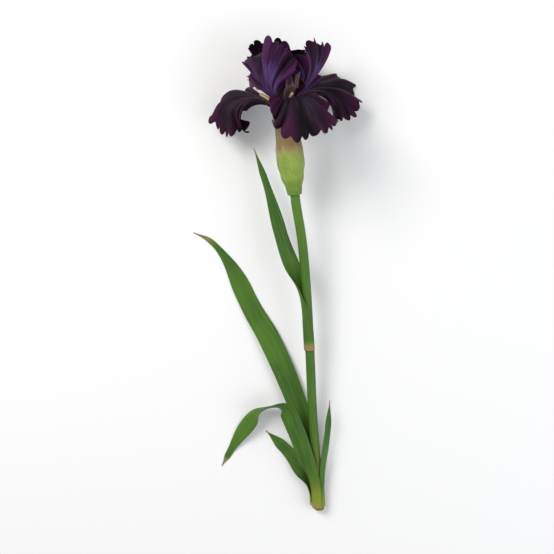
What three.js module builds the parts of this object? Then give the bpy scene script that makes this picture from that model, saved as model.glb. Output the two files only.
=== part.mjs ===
// A Louisiana iris as picked: one flowering stalk with its bloom, its stem leaf and the four leaves
// of its fan, cut through at ground level and laid on a flat surface.
// Millimetres. +Y runs up the stalk to the bloom, +X is to the right of it, and +Z is up from the surface.
// The group's origin is the middle of the footprint, on the surface.
import * as THREE from "three";

// ---------------------------------------------------------------- driving dimensions

const SURFACE_GAP = 0.3; // clear space between two pieces that nature joins
const PETAL_THICKNESS = 0.9;
const LEAF_THICKNESS = 1.3;
const SHEATH_THICKNESS = 0.6; // a leaf or bract where it wraps the stalk
const PETAL_SOFTNESS = 1.5; // how gradually a petal flattens where it lies on the surface
const LEAF_SOFTNESS = 0.4;

const STALK_RADIUS = 3.6;
const STALK_BASE_HEIGHT = 4.8; // the stalk's centre above the surface at the cut
const STALK_TOP = -60; // the stalk's end, along the bloom's axis from the bloom's centre

const BLOOM_CENTRE = new THREE.Vector3(-28.3, 322.6, 40.5);
const BLOOM_AXIS = new THREE.Vector3(-7.8, 70.6, 6.9).normalize();

const FALL_LENGTH = 68;
const FALL_HALF_WIDTH = 31;
const STANDARD_LENGTH = 60;
const STANDARD_HALF_WIDTH = 33;
const SPATHE_BASE = -71; // along the bloom's axis
const STYLE_ARM_LENGTH = 31;
const STYLE_ARM_ROOF = 0.9; // the half angle of a style arm's arched section, in radians

// The three falls stand a third of a turn apart and the standards between them. An azimuth of 0 is to
// the right of the bloom, 90 faces the surface that it lies on and -90 faces straight up.
const FALL_AZIMUTHS = { front: -72, right: 42, left: 156 };
const STANDARD_AZIMUTHS = { right: -15, back: 102, left: 225 };

const GREEN = { leaf: 0x4a7a24, stalk: 0x5d8a2b, spathe: 0x9cae4a, ovary: 0x8fa04a };
const PURPLE = { fall: 0x1e1020, standard: 0x3c1c44, style: 0x5a3440, stamen: 0xb8a070 };

// ---------------------------------------------------------------- small helpers

const degrees = THREE.MathUtils.degToRad;
const mix = THREE.MathUtils.lerp;
const ease = THREE.MathUtils.smoothstep;

// A value that changes smoothly through [position, value] pairs.
function profile(pairs) {
  const points = pairs.map(([at, value]) => new THREE.Vector2(at, value));
  return (at) => {
    const last = points.length - 1;
    let i = 0;
    while (i < last - 1 && at > points[i + 1].x) i += 1;
    const [a, b] = [points[i], points[i + 1]];
    const share = THREE.MathUtils.clamp((at - a.x) / (b.x - a.x), 0, 1);
    return mix(a.y, b.y, share * share * (3 - 2 * share));
  };
}

// Where a point would sink into the surface, it is pressed flat on it instead.
function pressed(p, thickness, softness) {
  const floor = thickness / 2;
  const above = (p.z - floor) / softness;
  if (above < 12) p.z = floor + softness * Math.log1p(Math.exp(above));
  return p;
}

// A closed solid of a thin curved sheet: middle(u, v) is its mid-surface, u from 0 to 1 along it and
// v from -1 to 1 across it, and thickness(u, v) is how thick it is there.
function sheetSolid(middle, thickness, rows, columns) {
  const front = [];
  const back = [];
  const step = 1e-3;
  for (let i = 0; i <= rows; i += 1) {
    for (let j = 0; j <= columns; j += 1) {
      const u = i / rows;
      const v = -1 + (2 * j) / columns;
      const [u0, u1] = [Math.max(u - step, 0), Math.min(u + step, 1)];
      const [v0, v1] = [Math.max(v - step, -1), Math.min(v + step, 1)];
      const along = middle(u1, v).sub(middle(u0, v));
      const across = middle(u, v1).sub(middle(u, v0));
      const normal = along.cross(across).normalize();
      const half = thickness(u, v) / 2;
      front.push(middle(u, v).addScaledVector(normal, half));
      back.push(middle(u, v).addScaledVector(normal, -half));
    }
  }
  const count = front.length;
  const at = (i, j) => i * (columns + 1) + j;
  const index = [];
  const quad = (a, b, c, d) => index.push(a, b, c, a, c, d);
  for (let i = 0; i < rows; i += 1) {
    for (let j = 0; j < columns; j += 1) {
      quad(at(i, j), at(i + 1, j), at(i + 1, j + 1), at(i, j + 1));
      quad(count + at(i, j), count + at(i, j + 1), count + at(i + 1, j + 1), count + at(i + 1, j));
    }
    quad(at(i + 1, 0), at(i, 0), count + at(i, 0), count + at(i + 1, 0));
    quad(at(i, columns), at(i + 1, columns), count + at(i + 1, columns), count + at(i, columns));
  }
  for (let j = 0; j < columns; j += 1) {
    quad(at(0, j), at(0, j + 1), count + at(0, j + 1), count + at(0, j));
    quad(at(rows, j + 1), at(rows, j), count + at(rows, j), count + at(rows, j + 1));
  }
  const geometry = new THREE.BufferGeometry().setFromPoints([...front, ...back]);
  geometry.setIndex(index);
  geometry.computeVertexNormals();
  return geometry;
}

function piece(name, geometry, color, roughness) {
  const material = new THREE.MeshStandardMaterial({ color, roughness, metalness: 0 });
  const mesh = new THREE.Mesh(geometry, material);
  mesh.name = name;
  return mesh;
}

// ---------------------------------------------------------------- stalk

const stalkPath = new THREE.CatmullRomCurve3([
  new THREE.Vector3(0, 0, STALK_BASE_HEIGHT),
  new THREE.Vector3(-2.2, 30, 7.6),
  new THREE.Vector3(-6, 79, 12.8),
  new THREE.Vector3(-8.6, 131, 18.6),
  new THREE.Vector3(-11.7, 181.5, 24.6),
  new THREE.Vector3(-15.2, 218, 29),
  BLOOM_CENTRE.clone().addScaledVector(BLOOM_AXIS, SPATHE_BASE - 6),
  BLOOM_CENTRE.clone().addScaledVector(BLOOM_AXIS, STALK_TOP),
]);

function stalk() {
  const section = new THREE.Shape().absarc(0, 0, STALK_RADIUS, 0, 2 * Math.PI, false);
  const geometry = new THREE.ExtrudeGeometry(section, {
    steps: 26,
    curveSegments: 7,
    extrudePath: stalkPath,
    bevelEnabled: false,
  });
  return piece("flower_stalk", geometry, GREEN.stalk, 0.5);
}

// The stalk's centre at a height up the stalk.
function stalkAt(y) {
  let [low, high] = [0, 1];
  for (let i = 0; i < 24; i += 1) {
    const middle = (low + high) / 2;
    if (stalkPath.getPoint(middle).y < y) low = middle;
    else high = middle;
  }
  return stalkPath.getPoint(low);
}

// ---------------------------------------------------------------- leaves

// A sword-shaped leaf: a ribbon along a spine, whose foot is rolled round the stalk and whose blade is
// flat. faces lists the way that its inner side looks along the spine, halfWidth its half width and
// roll the half angle that it is rolled through, each as [position, value] pairs.
function leaf(name, { spine, faces, halfWidth, roll, rows }) {
  const path = new THREE.CatmullRomCurve3(spine.map(([x, y, z]) => new THREE.Vector3(x, y, z)));
  const facing = ["x", "y", "z"].map((_, k) => profile(faces.map(([at, face]) => [at, face[k]])));
  const width = profile(halfWidth);
  const rolled = profile(roll);
  const thickness = (u, v) => {
    const blade = mix(SHEATH_THICKNESS, LEAF_THICKNESS, ease(u, 0.1, 0.45) * (1 - ease(u, 0.75, 1)));
    return blade * (1 - 0.55 * v * v);
  };
  const middle = (u, v) => {
    const along = path.getTangentAt(u);
    const inward = new THREE.Vector3(...facing.map((axis) => axis(u)));
    const across = along.clone().cross(inward).normalize();
    inward.copy(across).cross(along).normalize();
    const angle = Math.max(rolled(u), 0.02);
    const radius = width(u) / angle;
    const p = path.getPointAt(u);
    p.addScaledVector(across, radius * Math.sin(v * angle));
    p.addScaledVector(inward, radius * (1 - Math.cos(v * angle)));
    return pressed(p, thickness(u, 0), LEAF_SOFTNESS);
  };
  return piece(name, sheetSolid(middle, thickness, rows, 8), GREEN.leaf, 0.55);
}

// A point beside the stalk, radius away from its centre, at an angle seen from the cut end.
function besideStalk(y, radius, angle) {
  const p = stalkAt(y);
  return [p.x + radius * Math.cos(degrees(angle)), y, p.z + radius * Math.sin(degrees(angle))];
}

// The way from there to the stalk's centre.
function towardsStalk(angle) {
  return [-Math.cos(degrees(angle)), 0, -Math.sin(degrees(angle))];
}

function leaves() {
  const [up, down] = [
    [0, 0, 1],
    [0, 0, -1],
  ];
  const longLeaf = leaf("leaf_long_arching", {
    spine: [
      besideStalk(0, 4.5, 245),
      besideStalk(24, 4.6, 245),
      [-9, 58, 5.2],
      [-22, 96, 5],
      [-40.4, 138, 3],
      [-53.1, 160, 1.5],
      [-71.7, 197, -1],
      [-86, 214, -2],
      [-99, 220.6, -2],
    ],
    faces: [
      [0, towardsStalk(245)],
      [0.12, towardsStalk(245)],
      [0.35, [0.15, 0, 1]],
      [1, up],
    ],
    halfWidth: [
      [0, 6],
      [0.15, 7],
      [0.55, 8.6],
      [0.75, 7.4],
      [0.93, 2.2],
      [1, 0.6],
    ],
    roll: [
      [0, 1.35],
      [0.1, 1.3],
      [0.35, 0.2],
      [1, 0.05],
    ],
    rows: 22,
  });
  const foldedLeaf = leaf("leaf_folded_over", {
    spine: [
      besideStalk(2, 6.2, 130),
      besideStalk(20, 6.4, 130),
      [-11, 42, 15.2],
      [-20, 68, 16.5],
      [-29, 84, 15.5],
      [-43, 83, 11],
      [-60, 65, 4.5],
      [-78, 34, -2],
    ],
    faces: [
      [0, towardsStalk(130)],
      [0.12, towardsStalk(130)],
      [0.3, [0.2, 0, -1]],
      [0.47, [0.1, 0.35, -0.94]],
      [0.6, [-0.3, 0.92, -0.25]],
      [0.74, [-0.35, 0.35, 0.85]],
      [1, up],
    ],
    halfWidth: [
      [0, 6],
      [0.2, 6.6],
      [0.5, 7.2],
      [0.75, 6.4],
      [0.93, 2.6],
      [1, 0.5],
    ],
    roll: [
      [0, 1.15],
      [0.1, 1.1],
      [0.32, 0.25],
      [1, 0.05],
    ],
    rows: 22,
  });
  const shortLeaf = leaf("leaf_short", {
    spine: [
      besideStalk(4, 7.5, 195),
      besideStalk(16, 7.6, 198),
      [-19, 39, 3],
      [-31, 52, 0],
      [-43, 63, -2],
    ],
    faces: [
      [0, towardsStalk(190)],
      [0.2, towardsStalk(200)],
      [0.5, up],
      [1, up],
    ],
    halfWidth: [
      [0, 4.5],
      [0.45, 6],
      [0.75, 4.4],
      [1, 0.5],
    ],
    roll: [
      [0, 0.8],
      [0.2, 0.7],
      [0.5, 0.15],
      [1, 0.05],
    ],
    rows: 12,
  });
  const innerLeaf = leaf("leaf_inner", {
    spine: [
      besideStalk(3, 4.6, 20),
      besideStalk(22, 4.7, 20),
      [4.2, 48, 10.2],
      [6.2, 70, 12],
      [7.4, 90, 12],
    ],
    faces: [
      [0, towardsStalk(20)],
      [0.3, towardsStalk(30)],
      [0.7, [-0.6, 0, -0.8]],
      [1, [-0.3, 0, -1]],
    ],
    halfWidth: [
      [0, 4.6],
      [0.4, 4.4],
      [0.75, 3],
      [1, 0.5],
    ],
    roll: [
      [0, 0.95],
      [0.3, 0.8],
      [0.7, 0.15],
      [1, 0.05],
    ],
    rows: 12,
  });
  const stemLeaf = leaf("stem_leaf", {
    spine: [
      besideStalk(131, 4.3, 180),
      besideStalk(150, 4.35, 183),
      besideStalk(170, 4.6, 200),
      [-20.5, 190, 22],
      [-29, 214, 22],
      [-40, 253, 20],
      [-51.7, 286.7, 16],
    ],
    faces: [
      [0, towardsStalk(180)],
      [0.12, towardsStalk(183)],
      [0.26, towardsStalk(205)],
      [0.45, [0.25, 0, 1]],
      [1, [0.1, 0, 1]],
    ],
    halfWidth: [
      [0, 11.6],
      [0.12, 10.8],
      [0.3, 7.4],
      [0.6, 5.2],
      [0.85, 2.6],
      [1, 0.5],
    ],
    roll: [
      [0, 2.7],
      [0.12, 2.45],
      [0.3, 1.2],
      [0.5, 0.3],
      [1, 0.08],
    ],
    rows: 22,
  });
  return [longLeaf, foldedLeaf, shortLeaf, innerLeaf, stemLeaf];
}

// ---------------------------------------------------------------- the bloom's own frame

const towardsViewer = new THREE.Vector3(0, 0, 1).projectOnPlane(BLOOM_AXIS).normalize();
const bloomRight = BLOOM_AXIS.clone().cross(towardsViewer).normalize();

// A point at a distance out from the bloom's axis, to the side of that azimuth, and along the axis.
function inBloom(azimuth, out, side, along) {
  const angle = degrees(azimuth);
  const [c, s] = [Math.cos(angle), Math.sin(angle)];
  return BLOOM_CENTRE.clone()
    .addScaledVector(bloomRight, out * c - side * s)
    .addScaledVector(towardsViewer, -out * s - side * c)
    .addScaledVector(BLOOM_AXIS, along);
}

// ---------------------------------------------------------------- petals

// The line that a petal's midrib follows: how far out from the axis and how far along it, and its
// slope, at a length from the petal's foot.
function midrib(stations) {
  const curve = new THREE.SplineCurve(stations.map(([out, along]) => new THREE.Vector2(out, along)));
  const length = curve.getLength();
  return (at) => {
    const share = THREE.MathUtils.clamp(at / length, 0, 1);
    const point = curve.getPointAt(share);
    const slope = curve.getTangentAt(share);
    point.addScaledVector(slope, at - share * length);
    return { point, slope };
  };
}

// A petal: a narrow claw that fans out into a broad ruffled blade. Its veins run from the foot to the
// margin, one for each v, and u runs along them.
function petal(name, azimuth, shape) {
  const rib = midrib(shape.rib);
  const spread = degrees(shape.spread);
  const middle = (u, v) => {
    const turn = v * spread;
    const rimSide = shape.halfWidth * Math.sin(turn) * (1 - (shape.taper * (1 - Math.cos(turn))) / 2);
    const rimAlong = shape.bladeMiddle + (shape.length - shape.bladeMiddle) * Math.cos(turn);
    const fan = u ** (2.1 + 0.9 * Math.abs(v));
    const flatSide = mix(shape.claw * v, rimSide, fan);
    const flatAlong = rimAlong * u;
    const { point, slope } = rib(flatAlong);
    const bend = shape.dome * ease(flatAlong, 0.15 * shape.length, 0.6 * shape.length) + 1e-4;
    const droop = (1 - Math.cos(flatSide * bend)) / bend;
    const margin = u ** (1.6 - 0.7 * Math.abs(v) ** 3);
    const wave = Math.sin(shape.waves * turn + shape.phase) + 0.4 * Math.sin(2.3 * shape.waves * turn);
    const lift = shape.ruffle * margin ** 2.2 * wave;
    const lean = flatSide * bend;
    const side = Math.sin(flatSide * bend) / bend + lift * Math.sin(lean);
    const off = lift * Math.cos(lean) - droop - shape.tilt * flatSide;
    const roll = degrees(shape.roll) * ease(flatAlong, 0.25 * shape.length, 0.8 * shape.length);
    const rolledSide = side * Math.cos(roll) - off * Math.sin(roll);
    const rolledOff = side * Math.sin(roll) + off * Math.cos(roll);
    const out = point.x - slope.y * rolledOff;
    const along = point.y + slope.x * rolledOff;
    const turned = azimuth + shape.twist * ease(flatAlong, 0.35 * shape.length, 0.75 * shape.length);
    const p = inBloom(turned, out, rolledSide, along);
    return pressed(p, PETAL_THICKNESS, PETAL_SOFTNESS);
  };
  const thickness = (u) => PETAL_THICKNESS * mix(1, 0.75, u);
  const color = name.startsWith("fall") ? PURPLE.fall : PURPLE.standard;
  return piece(name, sheetSolid(middle, thickness, 9, 24), color, 0.6);
}

// A fall stands out from the bloom and hangs; its claw is a narrow strap, and its blade is rolled about
// its midrib so that the half nearer the viewer hangs lower. reach is how far out its tip gets, from 0
// to 1, hang lowers the tip in millimetres, roll and twist are in degrees, and phase shifts its ruffles.
function fall(side, reach, hang, roll, twist, phase) {
  return petal(`fall_${side}`, FALL_AZIMUTHS[side], {
    rib: [
      [4.9, -10],
      [9, -4.5],
      [16, 0.5],
      [26, 3.5],
      [38, 3 - 0.2 * hang],
      [mix(48, 52, reach), -3 - 0.6 * hang],
      [mix(51, 61, reach), -12 - hang],
    ],
    length: FALL_LENGTH,
    bladeMiddle: 43,
    halfWidth: FALL_HALF_WIDTH,
    taper: 0.3,
    spread: 140,
    twist,
    tilt: 0,
    roll,
    claw: 3.9,
    dome: 0.04,
    ruffle: 3.6,
    waves: 4.2,
    phase,
  });
}

// A standard rises from the bloom, cupped round the style arms, and flares at its head. reach moves its
// head outward in millimetres, twist is in degrees, and width is a share of the usual half width.
function standard(side, reach, twist, width, phase) {
  return petal(`standard_${side}`, STANDARD_AZIMUTHS[side], {
    rib: [
      [3.6, -10],
      [6.6, -2],
      [12.5, 6],
      [18 + reach, 16],
      [21 + 1.5 * reach, 26],
      [20 + 2 * reach, 36],
      [15 + 2.5 * reach, 43],
    ],
    length: STANDARD_LENGTH,
    bladeMiddle: 40,
    halfWidth: STANDARD_HALF_WIDTH * width,
    taper: 0.5,
    spread: 147,
    twist,
    tilt: 0.22,
    roll: 0,
    claw: 2.4,
    dome: -0.03,
    ruffle: 3.4,
    waves: 4.6,
    phase,
  });
}

// ---------------------------------------------------------------- style arms and stamens

// A style arm arches out over a fall's claw like a narrow roof.
function styleArm(side) {
  const azimuth = FALL_AZIMUTHS[side];
  const rib = midrib([
    [2.4, -2],
    [6, 5],
    [13, 10],
    [20, 11.5],
    [29, 10.5],
  ]);
  const halfWidth = profile([
    [0, 1.5],
    [0.35, 3.8],
    [0.75, 5.6],
    [1, 5],
  ]);
  const middle = (u, v) => {
    const { point, slope } = rib(u * STYLE_ARM_LENGTH);
    const radius = halfWidth(u) / STYLE_ARM_ROOF;
    const off = -radius * (1 - Math.cos(v * STYLE_ARM_ROOF)) + 3 * ease(u, 0.7, 1) * Math.abs(v);
    const out = point.x - slope.y * off;
    const side = radius * Math.sin(v * STYLE_ARM_ROOF);
    return inBloom(azimuth, out, side, point.y + slope.x * off);
  };
  const thickness = () => 0.8;
  return piece(`style_arm_${side}`, sheetSolid(middle, thickness, 10, 8), PURPLE.style, 0.6);
}

// A stamen lies under each style arm: a thin filament that carries a long anther.
function stamen(side) {
  const foot = [4.6, -3.8];
  const tip = [19.5, 6];
  const radius = profile([
    [0, 0.5],
    [0.4, 0.5],
    [0.5, 1.1],
    [0.95, 1.1],
    [1, 0.4],
  ]);
  const outline = [new THREE.Vector2(0, 0)];
  const length = Math.hypot(tip[0] - foot[0], tip[1] - foot[1]);
  for (let i = 0; i <= 10; i += 1) outline.push(new THREE.Vector2(radius(i / 10), (i / 10) * length));
  outline.push(new THREE.Vector2(0, length));
  const start = inBloom(FALL_AZIMUTHS[side], foot[0], 0, foot[1]);
  const end = inBloom(FALL_AZIMUTHS[side], tip[0], 0, tip[1]);
  const mesh = piece(`stamen_${side}`, new THREE.LatheGeometry(outline, 8), PURPLE.stamen, 0.7);
  mesh.position.copy(start);
  mesh.quaternion.setFromUnitVectors(new THREE.Vector3(0, 1, 0), end.sub(start).normalize());
  return mesh;
}

// ---------------------------------------------------------------- ovary and spathe

// The ovary and perianth tube stand on the stalk inside the spathe, with the style column on top.
function ovary() {
  const foot = STALK_TOP + SURFACE_GAP;
  const outline = [
    [0, foot],
    [3.1, foot],
    [3.1, -53],
    [4.6, -47],
    [5, -38],
    [4.4, -29],
    [3.4, -22],
    [3.9, -14],
    [4.1, -11],
    [1.6, -10.4],
    [1.5, -2.6],
    [0, -2.4],
  ].map(([radius, along]) => new THREE.Vector2(radius, along));
  const mesh = piece("ovary_and_tube", new THREE.LatheGeometry(outline, 14), GREEN.ovary, 0.5);
  mesh.position.copy(BLOOM_CENTRE);
  mesh.quaternion.setFromUnitVectors(new THREE.Vector3(0, 1, 0), BLOOM_AXIS);
  return mesh;
}

// A spathe valve is a bract rolled round the ovary, swollen at its middle and drawn to a tip.
function spatheValve(name, azimuth, top, outward) {
  const swell = profile([
    [SPATHE_BASE, 4.3],
    [-66, 5.2],
    [-57, 7.9],
    [-47, 9.6],
    [-38, 9.5],
    [-28, 8.4],
    [-20, 8.2],
    [-12, 9.2],
  ]);
  const rolled = profile([
    [0, 150],
    [0.25, 128],
    [0.6, 112],
    [0.82, 74],
    [0.95, 26],
    [1, 5],
  ]);
  const middle = (u, v) => {
    const along = mix(SPATHE_BASE, top, u);
    const turn = v * rolled(u);
    const radius = swell(along) + outward * mix(0.9, 1.2, u);
    const angle = degrees(turn);
    return inBloom(azimuth, radius * Math.cos(angle), radius * Math.sin(angle), along);
  };
  const thickness = (u) => SHEATH_THICKNESS * mix(1, 0.7, u);
  return piece(name, sheetSolid(middle, thickness, 14, 12), GREEN.spathe, 0.5);
}

// ---------------------------------------------------------------- the whole flower

const iris = new THREE.Group();
iris.add(stalk(), ...leaves(), ovary());
iris.add(spatheValve("spathe_outer", 205, -13, 1), spatheValve("spathe_inner", 30, -17, 0));
iris.add(fall("front", 0, 16, 0, 0, 0.6));
iris.add(fall("right", 1.1, -3, 55, -16, 2.4), fall("left", 0.1, 0, -55, 4, 4.1));
iris.add(standard("left", 1, 13, 1.05, 1.1), standard("right", 4.5, -5, 0.8, 3.2));
iris.add(standard("back", 0, 0, 0.95, 5));
for (const side of Object.keys(FALL_AZIMUTHS)) iris.add(styleArm(side), stamen(side));

// The origin is moved to the middle of the footprint, on the surface.
const bounds = new THREE.Box3().setFromObject(iris, true);
const middleOfFootprint = bounds.getCenter(new THREE.Vector3()).setZ(bounds.min.z);
for (const part of iris.children) part.position.sub(middleOfFootprint);

export default iris;
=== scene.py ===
# A Louisiana iris as picked, lying on a pale table: near-black velvety falls, dark purple standards, a
# papery spathe, a waxy green stalk with its stem leaf, and the sword leaves of its fan.
# Metres, in the model's frame: +Y up the stalk to the bloom, +X to its right, +Z up from the table.
import math

import bpy
import numpy as np
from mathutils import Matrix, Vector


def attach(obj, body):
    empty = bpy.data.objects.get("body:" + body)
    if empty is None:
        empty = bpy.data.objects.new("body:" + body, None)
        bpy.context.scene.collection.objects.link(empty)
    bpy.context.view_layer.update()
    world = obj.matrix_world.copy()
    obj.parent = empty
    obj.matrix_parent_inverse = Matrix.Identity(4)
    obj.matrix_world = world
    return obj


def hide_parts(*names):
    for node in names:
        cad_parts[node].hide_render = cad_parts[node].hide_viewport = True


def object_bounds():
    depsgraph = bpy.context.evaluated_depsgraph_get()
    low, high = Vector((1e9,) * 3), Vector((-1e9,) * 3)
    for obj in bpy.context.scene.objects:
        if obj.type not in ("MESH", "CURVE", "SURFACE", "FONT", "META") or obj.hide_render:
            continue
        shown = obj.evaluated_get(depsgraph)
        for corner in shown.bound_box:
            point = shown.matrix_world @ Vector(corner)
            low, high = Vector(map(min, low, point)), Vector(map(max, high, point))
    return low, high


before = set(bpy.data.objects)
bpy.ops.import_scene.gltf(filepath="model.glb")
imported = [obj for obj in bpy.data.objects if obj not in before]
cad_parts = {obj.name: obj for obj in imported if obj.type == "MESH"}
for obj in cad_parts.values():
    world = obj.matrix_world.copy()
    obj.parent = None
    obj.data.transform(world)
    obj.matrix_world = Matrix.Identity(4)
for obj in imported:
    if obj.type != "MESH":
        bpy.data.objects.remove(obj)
cad_lowest, cad_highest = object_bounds()

# ---------------------------------------------------------------------------------------- camera
# The flower is seen from over the table with its bloom at the top, a little from above the bloom, as one
# looks at an iris that stands.
FIELD_HEIGHT = 0.425
CAMERA_TILT = math.radians(7)
LENS_MM = 85.0
SENSOR_MM = 36.0
AIM_HEIGHT = 0.02
AIM_PAST_MIDDLE = 0.004

camera_data = bpy.data.cameras.new("camera")
camera_data.lens = LENS_MM
camera_data.sensor_width = SENSOR_MM
camera = bpy.data.objects.new("camera", camera_data)
bpy.context.scene.collection.objects.link(camera)
camera_distance = FIELD_HEIGHT * LENS_MM / SENSOR_MM
camera.rotation_euler = (-CAMERA_TILT, 0, 0)
camera.location = (
    (cad_lowest[0] + cad_highest[0]) / 2,
    (cad_lowest[1] + cad_highest[1]) / 2 + camera_distance * math.sin(CAMERA_TILT) + AIM_PAST_MIDDLE,
    AIM_HEIGHT + camera_distance * math.cos(CAMERA_TILT),
)
bpy.context.scene.camera = camera

# ---------------------------------------------------------------------------------- table and light
# A plain pale table top, a large soft lamp over the upper left, a weaker one at the right, and even
# light all round.
bpy.context.scene.view_settings.view_transform = "Standard"


def new_material(name):
    """A material with its Principled BSDF, ready for nodes."""
    material = bpy.data.materials.new(name)
    material.use_nodes = True
    tree = material.node_tree
    return material, tree, tree.nodes["Principled BSDF"]


table_material, _, table_shader = new_material("pale_table")
table_shader.inputs["Base Color"].default_value = (0.82, 0.82, 0.815, 1)
table_shader.inputs["Roughness"].default_value = 0.7
table_mesh = bpy.data.meshes.new("table")
TABLE_HALF = 3.0
table_corners = [(TABLE_HALF * x, TABLE_HALF * y, 0) for x, y in ((-1, -1), (1, -1), (1, 1), (-1, 1))]
table_mesh.from_pydata(table_corners, [], [(0, 1, 2, 3)])
table_mesh.materials.append(table_material)
table = bpy.data.objects.new("table", table_mesh)
bpy.context.scene.collection.objects.link(table)

world = bpy.data.worlds.new("studio")
world.use_nodes = True
world.node_tree.nodes["Background"].inputs["Color"].default_value = (0.96, 0.97, 1.0, 1)
world.node_tree.nodes["Background"].inputs["Strength"].default_value = 0.58
bpy.context.scene.world = world


def soft_lamp(name, place, size, watts, color):
    """A square area lamp that faces the middle of the flower."""
    data = bpy.data.lights.new(name, "AREA")
    data.size = size
    data.energy = watts
    data.color = color
    lamp = bpy.data.objects.new(name, data)
    bpy.context.scene.collection.objects.link(lamp)
    lamp.location = place
    aim = np.array([0, 0, 0.03]) - np.array(place)
    lamp.rotation_euler = (
        math.atan2(math.hypot(aim[0], aim[1]), -aim[2]),
        0,
        math.atan2(aim[1], aim[0]) - math.pi / 2,
    )


soft_lamp("key_lamp", (-0.75, 0.75, 1.15), 0.7, 17, (1.0, 0.98, 0.95))
soft_lamp("fill_lamp", (0.9, -0.2, 0.8), 0.8, 5, (0.93, 0.96, 1.0))

# ----------------------------------------------------------------------------------- bloom's frame
# The ovary and its tube stand on the bloom's axis, whose lean is given; their highest point along it gives
# the bloom's centre. Every petal is placed from these.
MM = 0.001
TOP_TO_CENTRE = 2.4 * MM
AXIS_LEAN = np.array([-7.8, 70.6, 6.9])

ovary_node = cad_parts["ovary_and_tube"]
ovary_points = np.array([vertex.co for vertex in ovary_node.data.vertices])
bloom_axis = AXIS_LEAN / np.linalg.norm(AXIS_LEAN)
ovary_along = ovary_points @ bloom_axis
tube_top = ovary_points[ovary_along > ovary_along.max() - 1e-6].mean(axis=0)
bloom_centre = tube_top + TOP_TO_CENTRE * bloom_axis
towards_viewer = np.array([0, 0, 1.0]) - bloom_axis[2] * bloom_axis
towards_viewer /= np.linalg.norm(towards_viewer)
bloom_right = np.cross(bloom_axis, towards_viewer)

# The plant's own places are measured in millimetres from the stalk's cut end on the table.
BLOOM_FROM_CUT = np.array([-28.3, 322.6, 40.5])


def from_cut(points):
    """Places in millimetres from the stalk's cut end, in metres in the model's frame."""
    return (np.asarray(points, float) - BLOOM_FROM_CUT) * MM + bloom_centre


def in_bloom(azimuth, out, side, along):
    """A place out from the bloom's axis, to the side of that azimuth, and along the axis, in millimetres.
    An azimuth of 0 is to the right, 90 faces the table and -90 faces straight up."""
    cosine, sine = np.cos(np.radians(azimuth)), np.sin(np.radians(azimuth))
    right = (out * cosine - side * sine)[..., None] * bloom_right
    viewer = (-out * sine - side * cosine)[..., None] * towards_viewer
    return bloom_centre + (right + viewer + np.asarray(along)[..., None] * bloom_axis) * MM


# ------------------------------------------------------------------------------------------- stalk
# The flowering stalk: one solid round stem, a little thicker at its foot, with faint ribs and a waxy
# bloom. It was cut straight through at ground level, and carries the ovary on its other end.
STALK_POINTS = [
    (0, 0, 4.8),
    (-2.2, 30, 7.6),
    (-6, 79, 12.8),
    (-8.6, 131, 18.6),
    (-11.7, 181.5, 24.6),
    (-15.2, 218, 29),
]
STALK_RADIUS = 3.6 * MM
SPATHE_BASE = -71
STALK_TOP = -60


def path_through(points, samples=80):
    """A smooth curve through the points (centripetal Catmull-Rom), with its arc length."""
    p = np.asarray(points, float)
    p = np.vstack([2 * p[0] - p[1], p, 2 * p[-1] - p[-2]])
    t = np.linspace(0, 1, samples, endpoint=False)[:, None]
    pieces = []
    for a, b, c, d in zip(p, p[1:], p[2:], p[3:]):
        ab, bc, cd = (math.sqrt(np.linalg.norm(e)) for e in (b - a, c - b, d - c))
        leave = ((b - a) / ab - (c - a) / (ab + bc) + (c - b) / bc) * bc
        arrive = ((c - b) / bc - (d - b) / (bc + cd) + (d - c) / cd) * bc
        cubic = 2 * b - 2 * c + leave + arrive
        square = -3 * b + 3 * c - 2 * leave - arrive
        pieces.append(cubic * t**3 + square * t**2 + leave * t + b)
    curve = np.vstack([*pieces, p[-2][None]])
    steps = np.linalg.norm(np.diff(curve, axis=0), axis=1)
    return curve, np.concatenate([[0], np.cumsum(steps)])


def on_path(path, length):
    """The points and directions at lengths along a path, which goes on straight past its end."""
    curve, lengths = path
    inside = np.clip(length, 0, lengths[-1])
    at = lambda where: np.stack([np.interp(where, lengths, axis) for axis in curve.T], axis=-1)
    direction = at(inside + 0.5) - at(inside - 0.5)
    direction = direction / np.linalg.norm(direction, axis=-1, keepdims=True)
    return at(inside) + (length - inside)[..., None] * direction, direction


stalk_path = path_through(
    STALK_POINTS + [BLOOM_FROM_CUT + bloom_axis * along for along in (SPATHE_BASE - 6, STALK_TOP)]
)
stalk_places, _ = on_path(stalk_path, np.linspace(0, stalk_path[1][-1], 120))
stalk_curve = bpy.data.curves.new("stalk_line", "CURVE")
stalk_curve.dimensions = "3D"
stalk_spline = stalk_curve.splines.new("POLY")
stalk_spline.points.add(len(stalk_places) - 1)
stalk_spline.points.foreach_set("co", np.c_[from_cut(stalk_places), np.ones(len(stalk_places))].ravel())
stalk_line = bpy.data.objects.new("stalk_line", stalk_curve)
bpy.context.scene.collection.objects.link(stalk_line)


def node_tree(name, inputs):
    """An empty Geometry Nodes tree with a geometry in and out, and named number inputs."""
    tree = bpy.data.node_groups.new(name, "GeometryNodeTree")
    tree.interface.new_socket("Geometry", in_out="INPUT", socket_type="NodeSocketGeometry")
    for label, kind in inputs:
        tree.interface.new_socket(label, in_out="INPUT", socket_type=kind)
    tree.interface.new_socket("Geometry", in_out="OUTPUT", socket_type="NodeSocketGeometry")
    return tree, tree.nodes.new("NodeGroupInput"), tree.nodes.new("NodeGroupOutput")


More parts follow.
